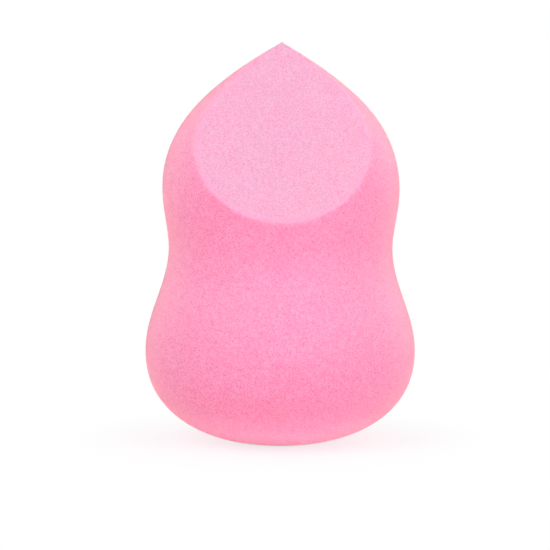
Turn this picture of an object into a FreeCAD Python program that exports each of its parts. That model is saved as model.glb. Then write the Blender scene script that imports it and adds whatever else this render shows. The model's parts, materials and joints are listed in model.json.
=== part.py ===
"""Makeup sponge: one piece of soft foam, ground to a gourd and sliced once by a blade.

The foam stands on its base with +Z up, and the origin is the middle of the base.
The sliced bevel faces -Y. All lengths are millimetres and all angles degrees.
"""

import FreeCAD, Part

import math
import os

from FreeCAD import Vector

# Heights above the base, up to the point of the tip
HEIGHT = 60.0
SHOULDER_HEIGHT = 38.1
WAIST_HEIGHT = 29.1
BELLY_HEIGHT = 13.6

# Diameters at those heights, and of the flat that the sponge stands on
SHOULDER_DIAMETER = 35.6
WAIST_DIAMETER = 33.6
BELLY_DIAMETER = 40.6
BASE_DIAMETER = 12.0

# Angle between the axis and the flank that runs up to the tip
TIP_HALF_ANGLE = 60.0

# The bevel: its angle to the axis, and how far in front of the axis the blade enters at tip height
BEVEL_ANGLE = 34.0
BEVEL_SETBACK = 0.1

# How full each stretch of the outline is. A handle's share is of the drop between the two stations
# that its curve joins, and the base's share is of the step from the base's edge out to the belly.
TIP_HANDLE_SHARE = 0.28
SHOULDER_UPPER_HANDLE_SHARE = 0.433
SHOULDER_LOWER_HANDLE_SHARE = 0.393
WAIST_UPPER_HANDLE_SHARE = 0.316
WAIST_LOWER_HANDLE_SHARE = 0.343
BELLY_UPPER_HANDLE_SHARE = 0.385
BELLY_LOWER_HANDLE_SHARE = 0.848
BASE_HANDLE_SHARE = 0.098

# How far the cutting block reaches past the foam on every side
CUT_OVERRUN = 5.0

# Whole turn of the ground outline about the axis
FULL_TURN = 360.0


def outline_point(radius, height):
    """A point of the outline, in the half plane that is turned about the axis."""
    return Vector(radius, 0, height)


def curve(start, start_handle, end_handle, end):
    """One cubic stretch of the outline, which leaves and arrives along its handles."""
    stretch = Part.BezierCurve()
    stretch.setPoles([start, start_handle, end_handle, end])
    return stretch.toShape()


def straight(start, end):
    """One straight stretch of the outline."""
    return Part.LineSegment(start, end).toShape()


def foam_outline():
    """The closed half section from base to tip, upright at the belly, the waist and the shoulder."""
    shoulder_radius = SHOULDER_DIAMETER / 2
    waist_radius = WAIST_DIAMETER / 2
    belly_radius = BELLY_DIAMETER / 2
    base_radius = BASE_DIAMETER / 2

    tip_drop = HEIGHT - SHOULDER_HEIGHT
    neck_drop = SHOULDER_HEIGHT - WAIST_HEIGHT
    belly_drop = WAIST_HEIGHT - BELLY_HEIGHT

    tip_handle_drop = TIP_HANDLE_SHARE * tip_drop
    tip_handle_reach = tip_handle_drop * math.tan(math.radians(TIP_HALF_ANGLE))
    base_handle_reach = BASE_HANDLE_SHARE * (belly_radius - base_radius)

    centre = outline_point(0, 0)
    base = outline_point(base_radius, 0)
    belly = outline_point(belly_radius, BELLY_HEIGHT)
    waist = outline_point(waist_radius, WAIST_HEIGHT)
    shoulder = outline_point(shoulder_radius, SHOULDER_HEIGHT)
    tip = outline_point(0, HEIGHT)

    stretches = [
        straight(centre, base),
        curve(
            base,
            outline_point(base_radius + base_handle_reach, 0),
            outline_point(belly_radius, BELLY_HEIGHT - BELLY_LOWER_HANDLE_SHARE * BELLY_HEIGHT),
            belly,
        ),
        curve(
            belly,
            outline_point(belly_radius, BELLY_HEIGHT + BELLY_UPPER_HANDLE_SHARE * belly_drop),
            outline_point(waist_radius, WAIST_HEIGHT - WAIST_LOWER_HANDLE_SHARE * belly_drop),
            waist,
        ),
        curve(
            waist,
            outline_point(waist_radius, WAIST_HEIGHT + WAIST_UPPER_HANDLE_SHARE * neck_drop),
            outline_point(shoulder_radius, SHOULDER_HEIGHT - SHOULDER_LOWER_HANDLE_SHARE * neck_drop),
            shoulder,
        ),
        curve(
            shoulder,
            outline_point(shoulder_radius, SHOULDER_HEIGHT + SHOULDER_UPPER_HANDLE_SHARE * tip_drop),
            outline_point(tip_handle_reach, HEIGHT - tip_handle_drop),
            tip,
        ),
        straight(tip, centre),
    ]
    return Part.Wire(stretches)


def ground_gourd():
    """The foam as the grinder leaves it: its outline turned once about the axis."""
    section = Part.Face(foam_outline())
    return section.revolve(Vector(0, 0, 0), Vector(0, 0, 1), FULL_TURN)


def blade_block():
    """What the blade takes off: a block in front of the bevel's plane, hinged at tip height."""
    reach = HEIGHT + BELLY_DIAMETER + CUT_OVERRUN
    block = Part.makeBox(2 * reach, reach, 2 * reach, Vector(-reach, -reach, -reach))
    block.rotate(Vector(0, 0, 0), Vector(1, 0, 0), -BEVEL_ANGLE)
    block.translate(Vector(0, -BEVEL_SETBACK, HEIGHT))
    return block


def sponge_body():
    """The whole sponge: the ground gourd with its bevel sliced off, as one solid."""
    sliced = ground_gourd().cut(blade_block())
    return sliced.Solids[0]


def main():
    """Writes the sponge, and prints what it measures."""
    os.makedirs("parts", exist_ok=True)
    body = sponge_body()
    body.exportStep(os.path.join("parts", "sponge_body.step"))
    box = body.BoundBox
    print("valid", body.isValid(), "volume", round(body.Volume), "centre", body.CenterOfMass)
    print("box", round(box.XLength, 2), round(box.YLength, 2), round(box.ZLength, 2))


main()
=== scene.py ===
"""Makeup sponge: the pored foam that stands for the plain solid, and the white studio around it."""

import json
import math

import bpy
import numpy as np
from bpy.props import FloatProperty, FloatVectorProperty, IntProperty, PointerProperty
from mathutils import Matrix, Vector


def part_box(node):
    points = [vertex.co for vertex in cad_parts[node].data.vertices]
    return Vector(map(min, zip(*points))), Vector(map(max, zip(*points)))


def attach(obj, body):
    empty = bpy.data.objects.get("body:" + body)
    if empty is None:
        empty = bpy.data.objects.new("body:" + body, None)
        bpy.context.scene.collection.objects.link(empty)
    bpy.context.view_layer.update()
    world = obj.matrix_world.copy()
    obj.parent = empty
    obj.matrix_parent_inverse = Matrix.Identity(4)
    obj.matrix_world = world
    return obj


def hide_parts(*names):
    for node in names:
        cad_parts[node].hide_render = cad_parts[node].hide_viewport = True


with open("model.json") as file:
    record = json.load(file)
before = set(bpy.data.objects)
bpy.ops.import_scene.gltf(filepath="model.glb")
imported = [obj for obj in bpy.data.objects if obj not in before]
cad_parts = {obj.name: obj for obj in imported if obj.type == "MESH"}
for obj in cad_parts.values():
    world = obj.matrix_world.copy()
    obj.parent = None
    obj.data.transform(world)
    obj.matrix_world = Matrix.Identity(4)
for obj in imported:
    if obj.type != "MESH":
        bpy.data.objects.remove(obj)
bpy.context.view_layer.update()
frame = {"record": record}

bl_info = {
    "name": "Makeup Sponge",
    "version": (1, 0, 0),
    "blender": (4, 5, 0),
    "location": "View3D > Sidebar > Sponge",
    "description": "Builds a bevelled foam makeup sponge and the white studio that it stands in",
    "category": "Add Mesh",
}

NODE = "sponge_body"
MM = 0.001

# Points on each curved stretch of the outline
OUTLINE_SAMPLES = 600

# The least radius, and the least share of the shoulder's radius, that anything is divided by
LEAST_RADIUS = 0.001 * MM
LEAST_SHARE = 0.001

# How often the rim's points are drawn together to wear it round
WEAR_ROUNDS = 3

# How many times the rim's softness the wear needs from the tip to reach its full strength
TIP_GUARD = 3

# Steps after which the lattice of random numbers repeats, and the seeds for the cells and the waves
LATTICE_STEPS = 32
CELL_SEED = 11
WAVE_SEED = 12

# How far the light table's disc lies above the floor, so that the paper doesn't cover it
TABLE_CLEARANCE = 0.2 * MM

# Width of the camera's full-frame sensor, which its focal length goes with
SENSOR_WIDTH_MM = 36.0

# The level that each softbox gives to a white card that faces it, then its azimuth and elevation in degrees
SOFTBOXES = {
    "front_left_softbox": (0.52, -40, 40),
    "front_right_softbox": (0.35, 40, 40),
    "low_right_softbox": (0.24, 40, 10),
    "rim_left_softbox": (0.28, -135, 22),
    "rim_right_softbox": (0.365, 135, 22),
}

node_low, node_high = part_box(NODE)
mounts = {mount["name"]: mount for mount in frame["record"]["mounts"]}
bevel_place = mounts["bevel_face"]["pos_m"]


def srgb(code):
    """Linear colour of an sRGB hex code: a straight toe below 0.04045, then a power of 2.4."""
    channel = np.array([int(code[i:i + 2], 16) for i in (0, 2, 4)]) / 255
    linear = np.where(channel <= 0.04045, channel / 12.92, ((channel + 0.055) / 1.055) ** 2.4)
    return tuple(float(part) for part in linear)


def length(name, description, millimetres):
    """A length that the user can change, given in millimetres and kept in metres."""
    return FloatProperty(
        name=name, description=description, default=millimetres * MM, unit="LENGTH", precision=5
    )


def share(name, description, default):
    """A share between nothing and the whole."""
    return FloatProperty(
        name=name, description=description, default=default, min=0, max=1, subtype="FACTOR"
    )


def angle(name, description, degrees):
    """An angle that the user can change, given in degrees and kept in radians."""
    return FloatProperty(
        name=name, description=description, default=math.radians(degrees), subtype="ANGLE"
    )


def count(name, description, default, least):
    """A number of mesh points that the user can change."""
    return IntProperty(name=name, description=description, default=default, min=least)


def colour(name, description, code):
    """A colour that the user can change, given as an sRGB hex code and kept linear."""
    return FloatVectorProperty(
        name=name, description=description, default=srgb(code), subtype="COLOR", min=0, max=1
    )


class SpongeShape(bpy.types.PropertyGroup):
    """The outline that the foam is ground to, and the rim of its bevel."""

    shoulder_height: length("Shoulder Height", "Height of the shoulder above the base", 38.1)
    waist_height: length("Waist Height", "Height of the waist above the base", 29.1)
    belly_height: length("Belly Height", "Height of the belly above the base", 13.6)
    shoulder_diameter: length("Shoulder", "Width across the shoulder", 35.6)
    waist_diameter: length("Waist", "Width across the waist", 33.6)
    base_diameter: length("Base", "Width of the flat that the sponge stands on", 12.0)
    tip_half_angle: angle("Tip Half Angle", "Angle between the axis and the flank at the tip", 60.0)
    tip_share: share("Tip Fullness", "Handle at the tip, of the drop to the shoulder", 0.28)
    shoulder_upper_share: share("Above Shoulder", "Handle, of the drop from tip to shoulder", 0.433)
    shoulder_lower_share: share("Below Shoulder", "Handle, of the drop from shoulder to waist", 0.393)
    waist_upper_share: share("Above Waist", "Handle, of the drop from shoulder to waist", 0.316)
    waist_lower_share: share("Below Waist", "Handle, of the drop from waist to belly", 0.343)
    belly_upper_share: share("Above Belly", "Handle, of the drop from waist to belly", 0.385)
    belly_lower_share: share("Below Belly", "Handle, of the drop from belly to base", 0.848)
    base_share: share("Base Fullness", "Handle, of the step from the base's edge to the belly", 0.098)
    rim_softness: length("Rim Softness", "How far the rim of the bevel is worn round", 0.5)


class SpongeFoam(bpy.types.PropertyGroup):
    """The foam's cells, as geometry and as colour."""

    columns: count("Columns", "Mesh points around the foam", 340, 24)
    wall_rows: count("Wall Rows", "Mesh points from the rim to the base's middle", 230, 12)
    bevel_rows: count("Bevel Rows", "Mesh points from the bevel's middle to the rim", 44, 4)
    cell_spacing: length("Cell Spacing", "Distance between the open cells", 0.55)
    cell_radius: length("Cell Radius", "Size of the largest open cells", 0.28)
    cell_depth: length("Cell Depth", "Depth of an open cell that is cut through its middle", 0.09)
    wave_spacing: length("Wave Spacing", "Distance between the grinder's soft waves", 7.0)
    wave_height: length("Wave Height", "Height of the grinder's soft waves", 0.06)
    ground_colour: colour("Ground Foam", "Colour of the cell walls on the ground sides", "FEA4C9")
    # The cut colour is paler than the ground colour partly for the cut foam itself and partly as painted
    # light, because the bevel faces the light
    cut_colour_and_painted_light: colour("Cut Foam", "Colour of the cell walls on the blade-cut bevel", "E3B1CE")
    # Along the worn rim, the paler colour is a painted highlight where the edge catches light
    worn_rim_highlight_colour: colour("Worn Rim", "Colour of the worn cell walls along the bevel's rim", "FEAECF")
    # The pore colour is painted shade down in the pores and bubbles, darker in all three channels
    pore_shade_colour: colour("Pores", "Colour down in the pores", "CD508A")
    fuzz: share("Fuzz", "How much fine fuzz shows at a glancing angle", 0.98)
    fuzz_colour: colour("Fuzz Colour", "Colour of the light that the fuzz scatters", "FFA8AE")
    pore_spacing: length("Pore Spacing", "Distance between the fine pores", 0.27)
    pore_radius: length("Pore Radius", "Size of the fine pores", 0.21)
    pore_depth: length("Pore Depth", "Depth of a fine pore at full darkness", 0.045)
    pore_darkness: share("Pore Darkness", "How much of the pore colour shows in a fine pore", 0.55)
    bubble_spacing: length("Bubble Spacing", "Distance between the larger bubbles", 0.62)
    bubble_radius: length("Bubble Radius", "Size of a larger bubble that is cut through its middle", 0.22)
    bubble_darkness: share("Bubble Darkness", "How much of the pore colour shows in a larger bubble", 0.8)
    pore_warp: length("Pore Warp", "How far the pores are drawn out of round", 0.12)
    # Both lower the pores' painted shade: on the bevel, and along the rim, where this adds to the painted
    # highlight
    cut_closing: share("Cut Closing", "Share of the pores' shade that the blade takes away", 0.35)
    rim_closing: share("Rim Closing", "Share of the pores' shade that the rim's wear takes away", 0.6)
    red_scatter: length("Red Scatter", "How far red light wanders in the foam", 25.0)
    green_scatter: length("Green Scatter", "How far green light wanders in the foam", 0.15)
    blue_scatter: length("Blue Scatter", "How far blue light wanders in the foam", 0.12)


class SpongeStudio(bpy.types.PropertyGroup):
    """The white studio: floor, lights and camera."""

    sky_level: share("Sky Level", "Brightness of the white room on a white card", 0.29)
    table_level: share("Table Level", "Brightness of the light table under the foot", 0.39)
    table_diameter: length("Table", "Width of the lit disc of the light table under the foot", 36.0)
    softbox_distance: length("Softbox Distance", "From the sponge to each softbox", 600.0)
    softbox_size: length("Softbox Size", "Width of each square softbox", 400.0)
    floor_size: length("Floor Size", "Width of the floor", 6000.0)
    floor_colour: colour("Floor", "Colour of the paper floor", "F4F4F4")
    shadow_depth: share("Shadow Depth", "How much of its light and shade the floor shows at the foot", 0.25)
    shadow_near: length("Shadow Near", "Radius inside which the floor shows its light and shade", 12.0)
    shadow_far: length("Shadow Far", "Radius from which the floor is plain white", 36.0)
    camera_distance: length("Camera Distance", "From the camera to the sponge's middle", 450.0)
    camera_azimuth: angle("Camera Azimuth", "Camera's turn about the sponge, to the right", -1.0)
    camera_elevation: angle("Camera Elevation", "Camera's height over the horizon", 5.0)
    camera_roll: angle("Camera Roll", "Camera's tilt about its line of sight, to the left", 0.35)
    camera_lens: FloatProperty(name="Lens", description="Focal length", default=195.8, unit="CAMERA")
    aim_right: length("Aim Right", "How far right of the sponge's middle the camera aims", -0.81)
    aim_up: length("Aim Up", "How far above the sponge's middle the camera aims", -4.98)


def bezier(start, start_handle, end_handle, end):
    """A cubic curve: each of its four points weighted by its term of the cube of (1 - t) + t."""
    t = np.linspace(0, 1, OUTLINE_SAMPLES)[:, None]
    weights = (1 - t) ** 3, 3 * t * (1 - t) ** 2, 3 * t ** 2 * (1 - t), t ** 3
    points = start, start_handle, end_handle, end
    return sum(weight * np.array(point) for weight, point in zip(weights, points))


def ground_outline(shape):
    """The half section from the tip to the base's middle: four cubic stretches that are upright at the
    shoulder, the waist and the belly, then the flat base. Returns the way along it from the tip, the radius
    and the height."""
    top = node_high.z
    shoulder = shape.shoulder_diameter / 2, shape.shoulder_height
    waist = shape.waist_diameter / 2, shape.waist_height
    belly = (node_high.x - node_low.x) / 2, shape.belly_height
    base = shape.base_diameter / 2, node_low.z
    tip_drop = top - shoulder[1]
    neck_drop = shoulder[1] - waist[1]
    belly_drop = waist[1] - belly[1]
    base_drop = belly[1] - base[1]
    tip_handle = shape.tip_share * tip_drop
    tip_reach = tip_handle * math.tan(shape.tip_half_angle)
    base_reach = shape.base_share * (belly[0] - base[0])
    stretches = [
        bezier(
            (0, top),
            (tip_reach, top - tip_handle),
            (shoulder[0], shoulder[1] + shape.shoulder_upper_share * tip_drop),
            shoulder,
        ),
        bezier(
            shoulder,
            (shoulder[0], shoulder[1] - shape.shoulder_lower_share * neck_drop),
            (waist[0], waist[1] + shape.waist_upper_share * neck_drop),
            waist,
        ),
        bezier(
            waist,
            (waist[0], waist[1] - shape.waist_lower_share * belly_drop),
            (belly[0], belly[1] + shape.belly_upper_share * belly_drop),
            belly,
        ),
        bezier(
            belly,
            (belly[0], belly[1] - shape.belly_lower_share * base_drop),
            (base[0] + base_reach, base[1]),
            base,
        ),
        np.array([(0, base[1])]),
    ]
    points = np.concatenate(stretches)
    steps = np.linalg.norm(np.diff(points, axis=0), axis=1)
    keep = np.concatenate([[True], steps > 0])
    points = points[keep]
    way = np.concatenate([[0], np.cumsum(steps[steps > 0])])
    return way, points[:, 0], points[:, 1]


def foam_grid(shape, foam):
    """The sharp-rimmed foam as one grid of columns, which run from the middle of the bevel over its rim and
    down the wall to the middle of the base.

    On the wall, a column of place p (1 at the front, 0 at the back) stands at the angle pi * (1 - p / k)
    from the front, where k is the radius there as a share of the shoulder's, and 1 below the shoulder. So
    columns keep their spacing as the dome narrows, and each one starts where it meets the rim. The blade's
    plane goes through the tip and the place of the solid's bevel mount, and the rim's angle at a radius r is
    the arc cosine of the blade's distance in front of the axis over r. On the bevel, a column is a straight
    line from the rim to the middle. Returns the points, and each point's distance from the rim, less than 0
    on the bevel."""
    way, radius, height = ground_outline(shape)
    blade_slope = bevel_place[1] / (bevel_place[2] - height[0])
    blade_front = (height[0] - height) * blade_slope
    rim_angle = np.arccos(np.clip(blade_front[1:] / np.maximum(radius[1:], LEAST_RADIUS), -1, 1))
    rim_angle = np.concatenate([rim_angle[:1], rim_angle])
    at_shoulder = np.argmax(height <= shape.shoulder_height)
    crowding = np.where(way < way[at_shoulder], radius / radius[at_shoulder], 1.0)
    below_rim = np.argmax(blade_front[1:] >= radius[1:]) + 1
    place_at_rim = (crowding * (1 - rim_angle / np.pi))[:below_rim + 1]

    turn = np.linspace(-np.pi, np.pi, foam.columns, endpoint=False)
    place = 1 - np.abs(turn) / np.pi
    rim_way = np.interp(place, place_at_rim, way[:below_rim + 1])

    down = np.linspace(0, 1, foam.wall_rows + 1)[:, None]
    wall_way = rim_way + (way[-1] - rim_way) * down
    k = np.maximum(np.interp(wall_way, way, crowding), LEAST_SHARE)
    theta = np.sign(turn) * np.pi * np.clip(1 - place / k, 0, 1)
    r = np.interp(wall_way, way, radius)
    z = np.interp(wall_way, way, height)
    wall = np.stack([r * np.sin(theta), -r * np.cos(theta), z], axis=-1)

    rim = wall[0]
    middle = (rim.min(axis=0) + rim.max(axis=0)) / 2
    out = np.linspace(0, 1, foam.bevel_rows + 1)[:-1, None, None]
    bevel = middle + out * (rim - middle)
    inward = (out[..., 0] - 1) * np.linalg.norm(rim - middle, axis=-1)
    return np.concatenate([bevel, wall]), np.concatenate([inward, wall_way - rim_way])


def worn_rim(grid, from_rim, softness):
    """The grid with its rim worn round: near the rim, each point moves time after time half way to the mean
    of its four neighbours, and less so near the tip, which stays sharp."""
    highest = np.unravel_index(np.argmax(grid[..., 2]), grid.shape[:2])
    from_tip = np.linalg.norm(grid - grid[highest], axis=-1)
    worn = np.exp(-(from_rim / softness) ** 2) * np.clip(from_tip / (TIP_GUARD * softness), 0, 1)
    worn = worn[1:-1, :, None] / 2
    for _ in range(WEAR_ROUNDS):
        beside = np.roll(grid, 1, axis=1) + np.roll(grid, -1, axis=1)
        mean = (beside[1:-1] + grid[:-2] + grid[2:]) / 4
        grid = grid.copy()
        grid[1:-1] += worn * (mean - grid[1:-1])
    return grid


def lattice_table(seed):
    """Seeded random numbers for the corners of a lattice that repeats, three to a corner."""
    return np.random.default_rng(seed).random((LATTICE_STEPS, LATTICE_STEPS, LATTICE_STEPS, 3))


def cell_distance(points, spacing, seed):
    """Distance to the nearest cell middle, with one middle at random in each cube of a lattice."""
    table = lattice_table(seed)
    cube = np.floor(points / spacing).astype(int)
    nearest = np.full(len(points), np.inf)
    for step in np.ndindex(3, 3, 3):
        near = cube + np.array(step) - 1
        middle = (near + table[tuple((near % LATTICE_STEPS).T)]) * spacing
        nearest = np.minimum(nearest, np.linalg.norm(points - middle, axis=1))
    return nearest


def soft_wave(points, spacing, seed):
    """Smooth noise from -1 to 1: random values at a lattice's corners, eased between them."""
    table = lattice_table(seed)
    cube = np.floor(points / spacing).astype(int)
    within = points / spacing - cube
    eased = within ** 2 * (3 - 2 * within)
    total = np.zeros(len(points))
    for step in np.ndindex(2, 2, 2):
        corner = np.array(step)
        weight = np.prod(np.where(corner == 1, eased, 1 - eased), axis=1)
        total += weight * table[tuple(((cube + corner) % LATTICE_STEPS).T)][:, 0]
    return 2 * total - 1


def grid_faces(rows, columns):
    """Corners of the quads between neighbouring rows of a grid whose rows close on themselves, and of the
    triangles that close its two ends on single points, numbered after the grid's own."""
    row, column = np.meshgrid(np.arange(rows - 1), np.arange(columns), indexing="ij")
    after = (column + 1) % columns
    above = row * columns
    below = above + columns
    corners = [above + column, below + column, below + after, above + after]
    quads = np.stack(corners, axis=-1).reshape(-1, 4)
    around = np.arange(columns)
    onward = (around + 1) % columns
    last = (rows - 1) * columns
    first_end = np.full(columns, rows * columns)
    start = np.stack([first_end, around, onward], axis=-1)
    finish = np.stack([first_end + 1, last + onward, last + around], axis=-1)
    return quads.tolist() + start.tolist() + finish.tolist()


def foam_mesh(shape, foam):
    """The foam's mesh: the worn grid, moved along its normals. It sinks where an open cell shows, by the
    cell's depth times one less the distance to its middle over its radius, and less so along the worn rim.
    It rises and sinks with the grinder's soft waves. Each point has three shares for the material: how far
    it lies on the cut face, whose colour is paler partly as painted light, how worn it is, which lays a
    painted highlight along the rim, and how much painted shade its pores keep."""
    grid, from_rim = foam_grid(shape, foam)
    grid = worn_rim(grid, from_rim, shape.rim_softness)
    ends = grid[0, 0], grid[-1, 0]
    rings = grid[1:-1]
    points = np.concatenate([rings.reshape(-1, 3), ends])
    mesh = bpy.data.meshes.new("foam")
    mesh.from_pydata(points.tolist(), [], grid_faces(len(rings), foam.columns))
    normals = np.empty(points.size)
    mesh.vertex_normals.foreach_get("vector", normals)
    from_rim = np.concatenate([from_rim[1:-1].ravel(), (from_rim[0, 0], from_rim[-1, 0])])
    worn = np.exp(-(from_rim / shape.rim_softness) ** 2)
    into_cell = np.clip(1 - cell_distance(points, foam.cell_spacing, CELL_SEED) / foam.cell_radius, 0, 1)
    waves = foam.wave_height * soft_wave(points, foam.wave_spacing, WAVE_SEED)
    relief = waves - foam.cell_depth * into_cell * (1 - worn)
    points = points + relief[:, None] * normals.reshape(-1, 3)
    mesh.vertices.foreach_set("co", points.ravel())
    cut_face = np.clip(-from_rim / shape.rim_softness, 0, 1)
    # The cut face share picks the bevel's colour, which is paler partly as painted light; the worn rim share
    # lays a painted highlight; the last sets how much painted shade the pores keep
    shares = {
        "cut_face": cut_face,
        "worn_rim": worn,
        "painted_pore_shade": (1 - foam.cut_closing * cut_face) * (1 - foam.rim_closing * worn),
    }
    for name, values in shares.items():
        mesh.attributes.new(name, "FLOAT", "POINT").data.foreach_set("value", values)
    mesh.polygons.foreach_set("use_smooth", np.ones(len(mesh.polygons), dtype=bool))
    mesh.update()
    return mesh


def add_node(tree, kind, inputs=None, **settings):
    """Adds a node, gives it its settings, then sets each input or links it to another node's output."""
    node = tree.nodes.new(kind)
    for name, value in settings.items():
        setattr(node, name, value)
    for name, value in (inputs or {}).items():
        if isinstance(value, bpy.types.NodeSocket):
            tree.links.new(value, node.inputs[name])
        else:
            node.inputs[name].default_value = value
    return node


def blank_material(name):
    """A material with an empty node tree and its output node."""
    material = bpy.data.materials.new(name)
    material.use_nodes = True
    tree = material.node_tree
    tree.nodes.clear()
    return material, tree, tree.nodes.new("ShaderNodeOutputMaterial")


def in_holes(tree, place, spacing, radius, darkness):
    """The shade in the nearest of many round holes: the darkness in its middle, easing to 0 at its radius.
    The texture measures distances in spacings, so the radius is given as a share of the spacing."""
    nearest = add_node(tree, "ShaderNodeTexVoronoi", {"Vector": place, "Scale": 1 / spacing}, feature="F1")
    depth = add_node(
        tree,
        "ShaderNodeMapRange",
        {
            "Value": nearest.outputs["Distance"],
            "From Max": radius / spacing,
            "To Min": darkness,
            "To Max": 0.0,
        },
        interpolation_type="SMOOTHSTEP",
    )
    return depth.outputs["Result"]


def foam_material(foam):
    """Open-cell polyurethane foam, ground to shape on its sides and blade-cut on its bevel."""
    # Red light wanders through the whole foam while the dye keeps green and blue near where they enter, so
    # the shaded sides turn a deeper pink but never grey. Broken cell walls stand up as a fine pink fuzz,
    # which gives the outline its pale, warm edge. The bevel's colour is paler than the sides' partly for the
    # cut foam itself and partly as painted light, since the bevel faces the light, and its pores' painted
    # shade is weaker. Along the worn rim a paler colour is a painted highlight, and most of the pores'
    # painted shade is gone. The darkness of the pores is painted shade down in them; the real pores are
    # mostly too fine to show at this distance, so they are drawn as coarse as it takes.
    material, tree, output = blank_material("polyurethane_foam_ground_and_cut")
    place = add_node(tree, "ShaderNodeTexCoord").outputs["Object"]
    warp = add_node(tree, "ShaderNodeTexNoise", {"Vector": place, "Scale": 1 / foam.bubble_spacing})
    # The noise runs from 0 to 1, so twice the warp draws a pore by up to the warp to either side
    warp_span = 2 * foam.pore_warp
    drawn_out = add_node(
        tree,
        "ShaderNodeVectorMath",
        {0: warp.outputs["Color"], 1: (warp_span, warp_span, warp_span), 2: place},
        operation="MULTIPLY_ADD",
    )
    uneven = drawn_out.outputs["Vector"]
    in_pore = in_holes(tree, uneven, foam.pore_spacing, foam.pore_radius, foam.pore_darkness)
    in_bubble = in_holes(tree, uneven, foam.bubble_spacing, foam.bubble_radius, foam.bubble_darkness)
    # The bevel's colour carries painted light as well as the cut foam's own tone
    cut = add_node(tree, "ShaderNodeAttribute", attribute_name="cut_face")
    bulk_with_facet_light = add_node(
        tree,
        "ShaderNodeMix",
        {0: cut.outputs["Fac"], 6: (*foam.ground_colour, 1), 7: (*foam.cut_colour_and_painted_light, 1)},
        data_type="RGBA",
    )
    # A paler colour along the rim paints the highlight of the edge catching light
    worn = add_node(tree, "ShaderNodeAttribute", attribute_name="worn_rim")
    rim_highlighted = add_node(
        tree,
        "ShaderNodeMix",
        {0: worn.outputs["Fac"], 6: bulk_with_facet_light.outputs[2], 7: (*foam.worn_rim_highlight_colour, 1)},
        data_type="RGBA",
    )
    # The darkness of the pores and bubbles is painted shade in the pits; the bump from the fine pores is
    # their real relief
    deepest = add_node(tree, "ShaderNodeMath", {0: in_pore, 1: in_bubble}, operation="MAXIMUM")
    painted_pore_shade = add_node(tree, "ShaderNodeAttribute", attribute_name="painted_pore_shade")
    pore_shade_share = add_node(
        tree,
        "ShaderNodeMath",
        {0: deepest.outputs["Value"], 1: painted_pore_shade.outputs["Fac"]},
        operation="MULTIPLY",
    )
    pore_shaded = add_node(
        tree,
        "ShaderNodeMix",
        {0: pore_shade_share.outputs["Value"], 6: rim_highlighted.outputs[2], 7: (*foam.pore_shade_colour, 1)},
        data_type="RGBA",
    )
    bump = add_node(
        tree,
        "ShaderNodeBump",
        {"Height": in_pore, "Distance": foam.pore_depth, "Strength": 1.0},
        invert=True,
    )
    shader = add_node(
        tree,
        "ShaderNodeBsdfPrincipled",
        {
            "Base Color": pore_shaded.outputs[2],
            "Normal": bump.outputs["Normal"],
            "Roughness": 0.55,
            "IOR": 1.45,
            "Specular IOR Level": 0.45,
            "Subsurface Weight": 1.0,
            "Subsurface Radius": (foam.red_scatter, foam.green_scatter, foam.blue_scatter),
            "Subsurface Scale": 1.0,
            "Sheen Weight": foam.fuzz,
            "Sheen Tint": (*foam.fuzz_colour, 1),
            "Sheen Roughness": 0.5,
        },
    )
    tree.links.new(shader.outputs["BSDF"], output.inputs["Surface"])
    return material


def seen_directly(tree):
    """1 for the rays that show the studio itself, to the camera, in a gloss or through glass, and 0 for the
    rays that carry its light."""
    path = add_node(tree, "ShaderNodeLightPath")
    seen = path.outputs["Is Camera Ray"]
    for kind in ("Is Glossy Ray", "Is Transmission Ray"):
        either = add_node(tree, "ShaderNodeMath", {0: seen, 1: path.outputs[kind]}, operation="MAXIMUM")
        seen = either.outputs["Value"]
    return seen


def paper_material(studio):
    """White seamless paper: matte, with the sponge's shadow near its foot, and plain white further out."""
    # Uncoated paper scatters evenly, so it has no gloss, and only a soft shadow shows where the foot stands.
    material, tree, output = blank_material("seamless_paper_uncoated")
    place = add_node(tree, "ShaderNodeTexCoord").outputs["Object"]
    from_foot = add_node(tree, "ShaderNodeVectorMath", {0: place}, operation="LENGTH")
    far_out = add_node(
        tree,
        "ShaderNodeMapRange",
        {
            "Value": from_foot.outputs["Value"],
            "From Min": studio.shadow_near,
            "From Max": studio.shadow_far,
            "To Min": 1 - studio.shadow_depth,
            "To Max": 1.0,
        },
        interpolation_type="SMOOTHSTEP",
    )
    whitened = add_node(
        tree,
        "ShaderNodeMath",
        {0: far_out.outputs["Result"], 1: seen_directly(tree)},
        operation="MULTIPLY",
    )
    lit = add_node(tree, "ShaderNodeBsdfDiffuse", {"Color": (*studio.floor_colour, 1)})
    white = add_node(tree, "ShaderNodeEmission", {"Color": (1, 1, 1, 1), "Strength": 1.0})
    paper = add_node(
        tree,
        "ShaderNodeMixShader",
        {0: whitened.outputs["Value"], 1: lit.outputs["BSDF"], 2: white.outputs["Emission"]},
    )
    tree.links.new(paper.outputs["Shader"], output.inputs["Surface"])
    return material


def towards(azimuth, elevation):
    """Unit direction from the sponge: azimuth turns from the front to the right, elevation lifts it."""
    flat = math.cos(elevation)
    return Vector((math.sin(azimuth) * flat, -math.cos(azimuth) * flat, math.sin(elevation)))


def put_in_scene(name, data):
    """A new object that holds the data, at the origin."""
    thing = bpy.data.objects.new(name, data)
    bpy.context.scene.collection.objects.link(thing)
    return thing


def looking_back(place, direction):
    """The placing of a lamp or camera that stands at the place and looks against the direction."""
    return Matrix.Translation(place) @ direction.to_track_quat("Z", "Y").to_matrix().to_4x4()


def softbox(name, level, direction, distance, size, target):
    """A square softbox that gives a facing white card its level: its power is the level times the square of
    pi times the distance."""
    lamp = bpy.data.lights.new(name, "AREA")
    lamp.size = size
    lamp.energy = level * (math.pi * distance) ** 2
    box = put_in_scene(name, lamp)
    box.matrix_world = looking_back(target + direction * distance, direction)
    box.visible_camera = False


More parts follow.
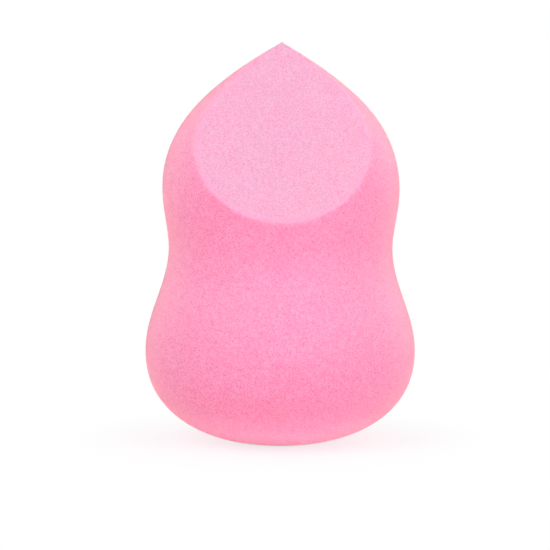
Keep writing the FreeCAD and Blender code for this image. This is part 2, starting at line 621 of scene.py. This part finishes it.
def light_table(level, diameter):
    """A lit disc flat on the floor that shines up from under the foot: its power is the level times pi times
    the disc's area."""
    lamp = bpy.data.lights.new("light_table", "AREA")
    lamp.shape = "DISK"
    lamp.size = diameter
    lamp.energy = level * (math.pi * diameter / 2) ** 2
    table = put_in_scene("light_table", lamp)
    table.matrix_world = looking_back(Vector((0, 0, TABLE_CLEARANCE)), Vector((0, 0, -1)))
    table.visible_camera = False


class SPONGE_OT_foam(bpy.types.Operator):
    """Makes the sponge's foam in place of the plain solid"""

    bl_idname = "sponge.foam"
    bl_label = "Make Foam"

    def execute(self, context):
        scene = context.scene
        piece = put_in_scene("sponge_foam", foam_mesh(scene.sponge_shape, scene.sponge_foam))
        piece.data.materials.append(foam_material(scene.sponge_foam))
        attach(piece, "root")
        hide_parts(NODE)
        return {"FINISHED"}


class SPONGE_OT_studio(bpy.types.Operator):
    """Makes the white floor, the lights and the camera"""

    bl_idname = "sponge.studio"
    bl_label = "Make Studio"

    def execute(self, context):
        scene = context.scene
        studio = scene.sponge_studio
        middle = Vector((0, 0, (node_low.z + node_high.z) / 2))

        half = studio.floor_size / 2
        corners = [(-half, -half, 0), (half, -half, 0), (half, half, 0), (-half, half, 0)]
        paper = bpy.data.meshes.new("paper")
        paper.from_pydata(corners, [], [(0, 1, 2, 3)])
        paper.materials.append(paper_material(studio))
        put_in_scene("paper_floor", paper)

        world = bpy.data.worlds.new("white_room")
        world.use_nodes = True
        tree = world.node_tree
        tree.nodes.clear()
        strength = add_node(
            tree,
            "ShaderNodeMapRange",
            {"Value": seen_directly(tree), "To Min": studio.sky_level, "To Max": 1.0},
        )
        room = add_node(
            tree,
            "ShaderNodeBackground",
            {"Color": (1, 1, 1, 1), "Strength": strength.outputs["Result"]},
        )
        add_node(tree, "ShaderNodeOutputWorld", {"Surface": room.outputs["Background"]})
        scene.world = world

        for name, (level, azimuth, elevation) in SOFTBOXES.items():
            direction = towards(math.radians(azimuth), math.radians(elevation))
            softbox(name, level, direction, studio.softbox_distance, studio.softbox_size, middle)
        light_table(studio.table_level, studio.table_diameter)

        lens = bpy.data.cameras.new("camera")
        lens.lens = studio.camera_lens
        lens.sensor_width = SENSOR_WIDTH_MM
        camera = put_in_scene("camera", lens)
        back = towards(studio.camera_azimuth, studio.camera_elevation)
        place = middle + back * studio.camera_distance
        right = Vector((0, 0, 1)).cross(back).normalized()
        aim = middle + right * studio.aim_right + back.cross(right) * studio.aim_up
        camera.matrix_world = looking_back(place, place - aim) @ Matrix.Rotation(studio.camera_roll, 4, "Z")
        scene.camera = camera
        scene.view_settings.view_transform = "Standard"
        return {"FINISHED"}


class SPONGE_PT_panel(bpy.types.Panel):
    """Lists the sponge's operators and settings"""

    bl_idname = "SPONGE_PT_panel"
    bl_label = "Makeup Sponge"
    bl_space_type = "VIEW_3D"
    bl_region_type = "UI"
    bl_category = "Sponge"

    def draw(self, context):
        layout = self.layout
        for operator in OPERATORS:
            layout.operator(operator.bl_idname)
        for name in SETTINGS:
            settings = getattr(context.scene, name)
            box = layout.box()
            box.label(text=name.replace("_", " ").title())
            for key in settings.__annotations__:
                box.prop(settings, key)


OPERATORS = SPONGE_OT_foam, SPONGE_OT_studio
SETTINGS = {"sponge_shape": SpongeShape, "sponge_foam": SpongeFoam, "sponge_studio": SpongeStudio}
CLASSES = *SETTINGS.values(), *OPERATORS, SPONGE_PT_panel


def register():
    """Registers the classes and hangs the settings on the scene."""
    for cls in CLASSES:
        bpy.utils.register_class(cls)
    for name, group in SETTINGS.items():
        setattr(bpy.types.Scene, name, PointerProperty(type=group))


def unregister():
    """Takes the settings off the scene and the classes out again."""
    for name in SETTINGS:
        delattr(bpy.types.Scene, name)
    for cls in reversed(CLASSES):
        bpy.utils.unregister_class(cls)


def main():
    """Builds the sponge and its studio."""
    register()
    bpy.ops.sponge.foam()
    bpy.ops.sponge.studio()


if __name__ == "__main__":
    main()
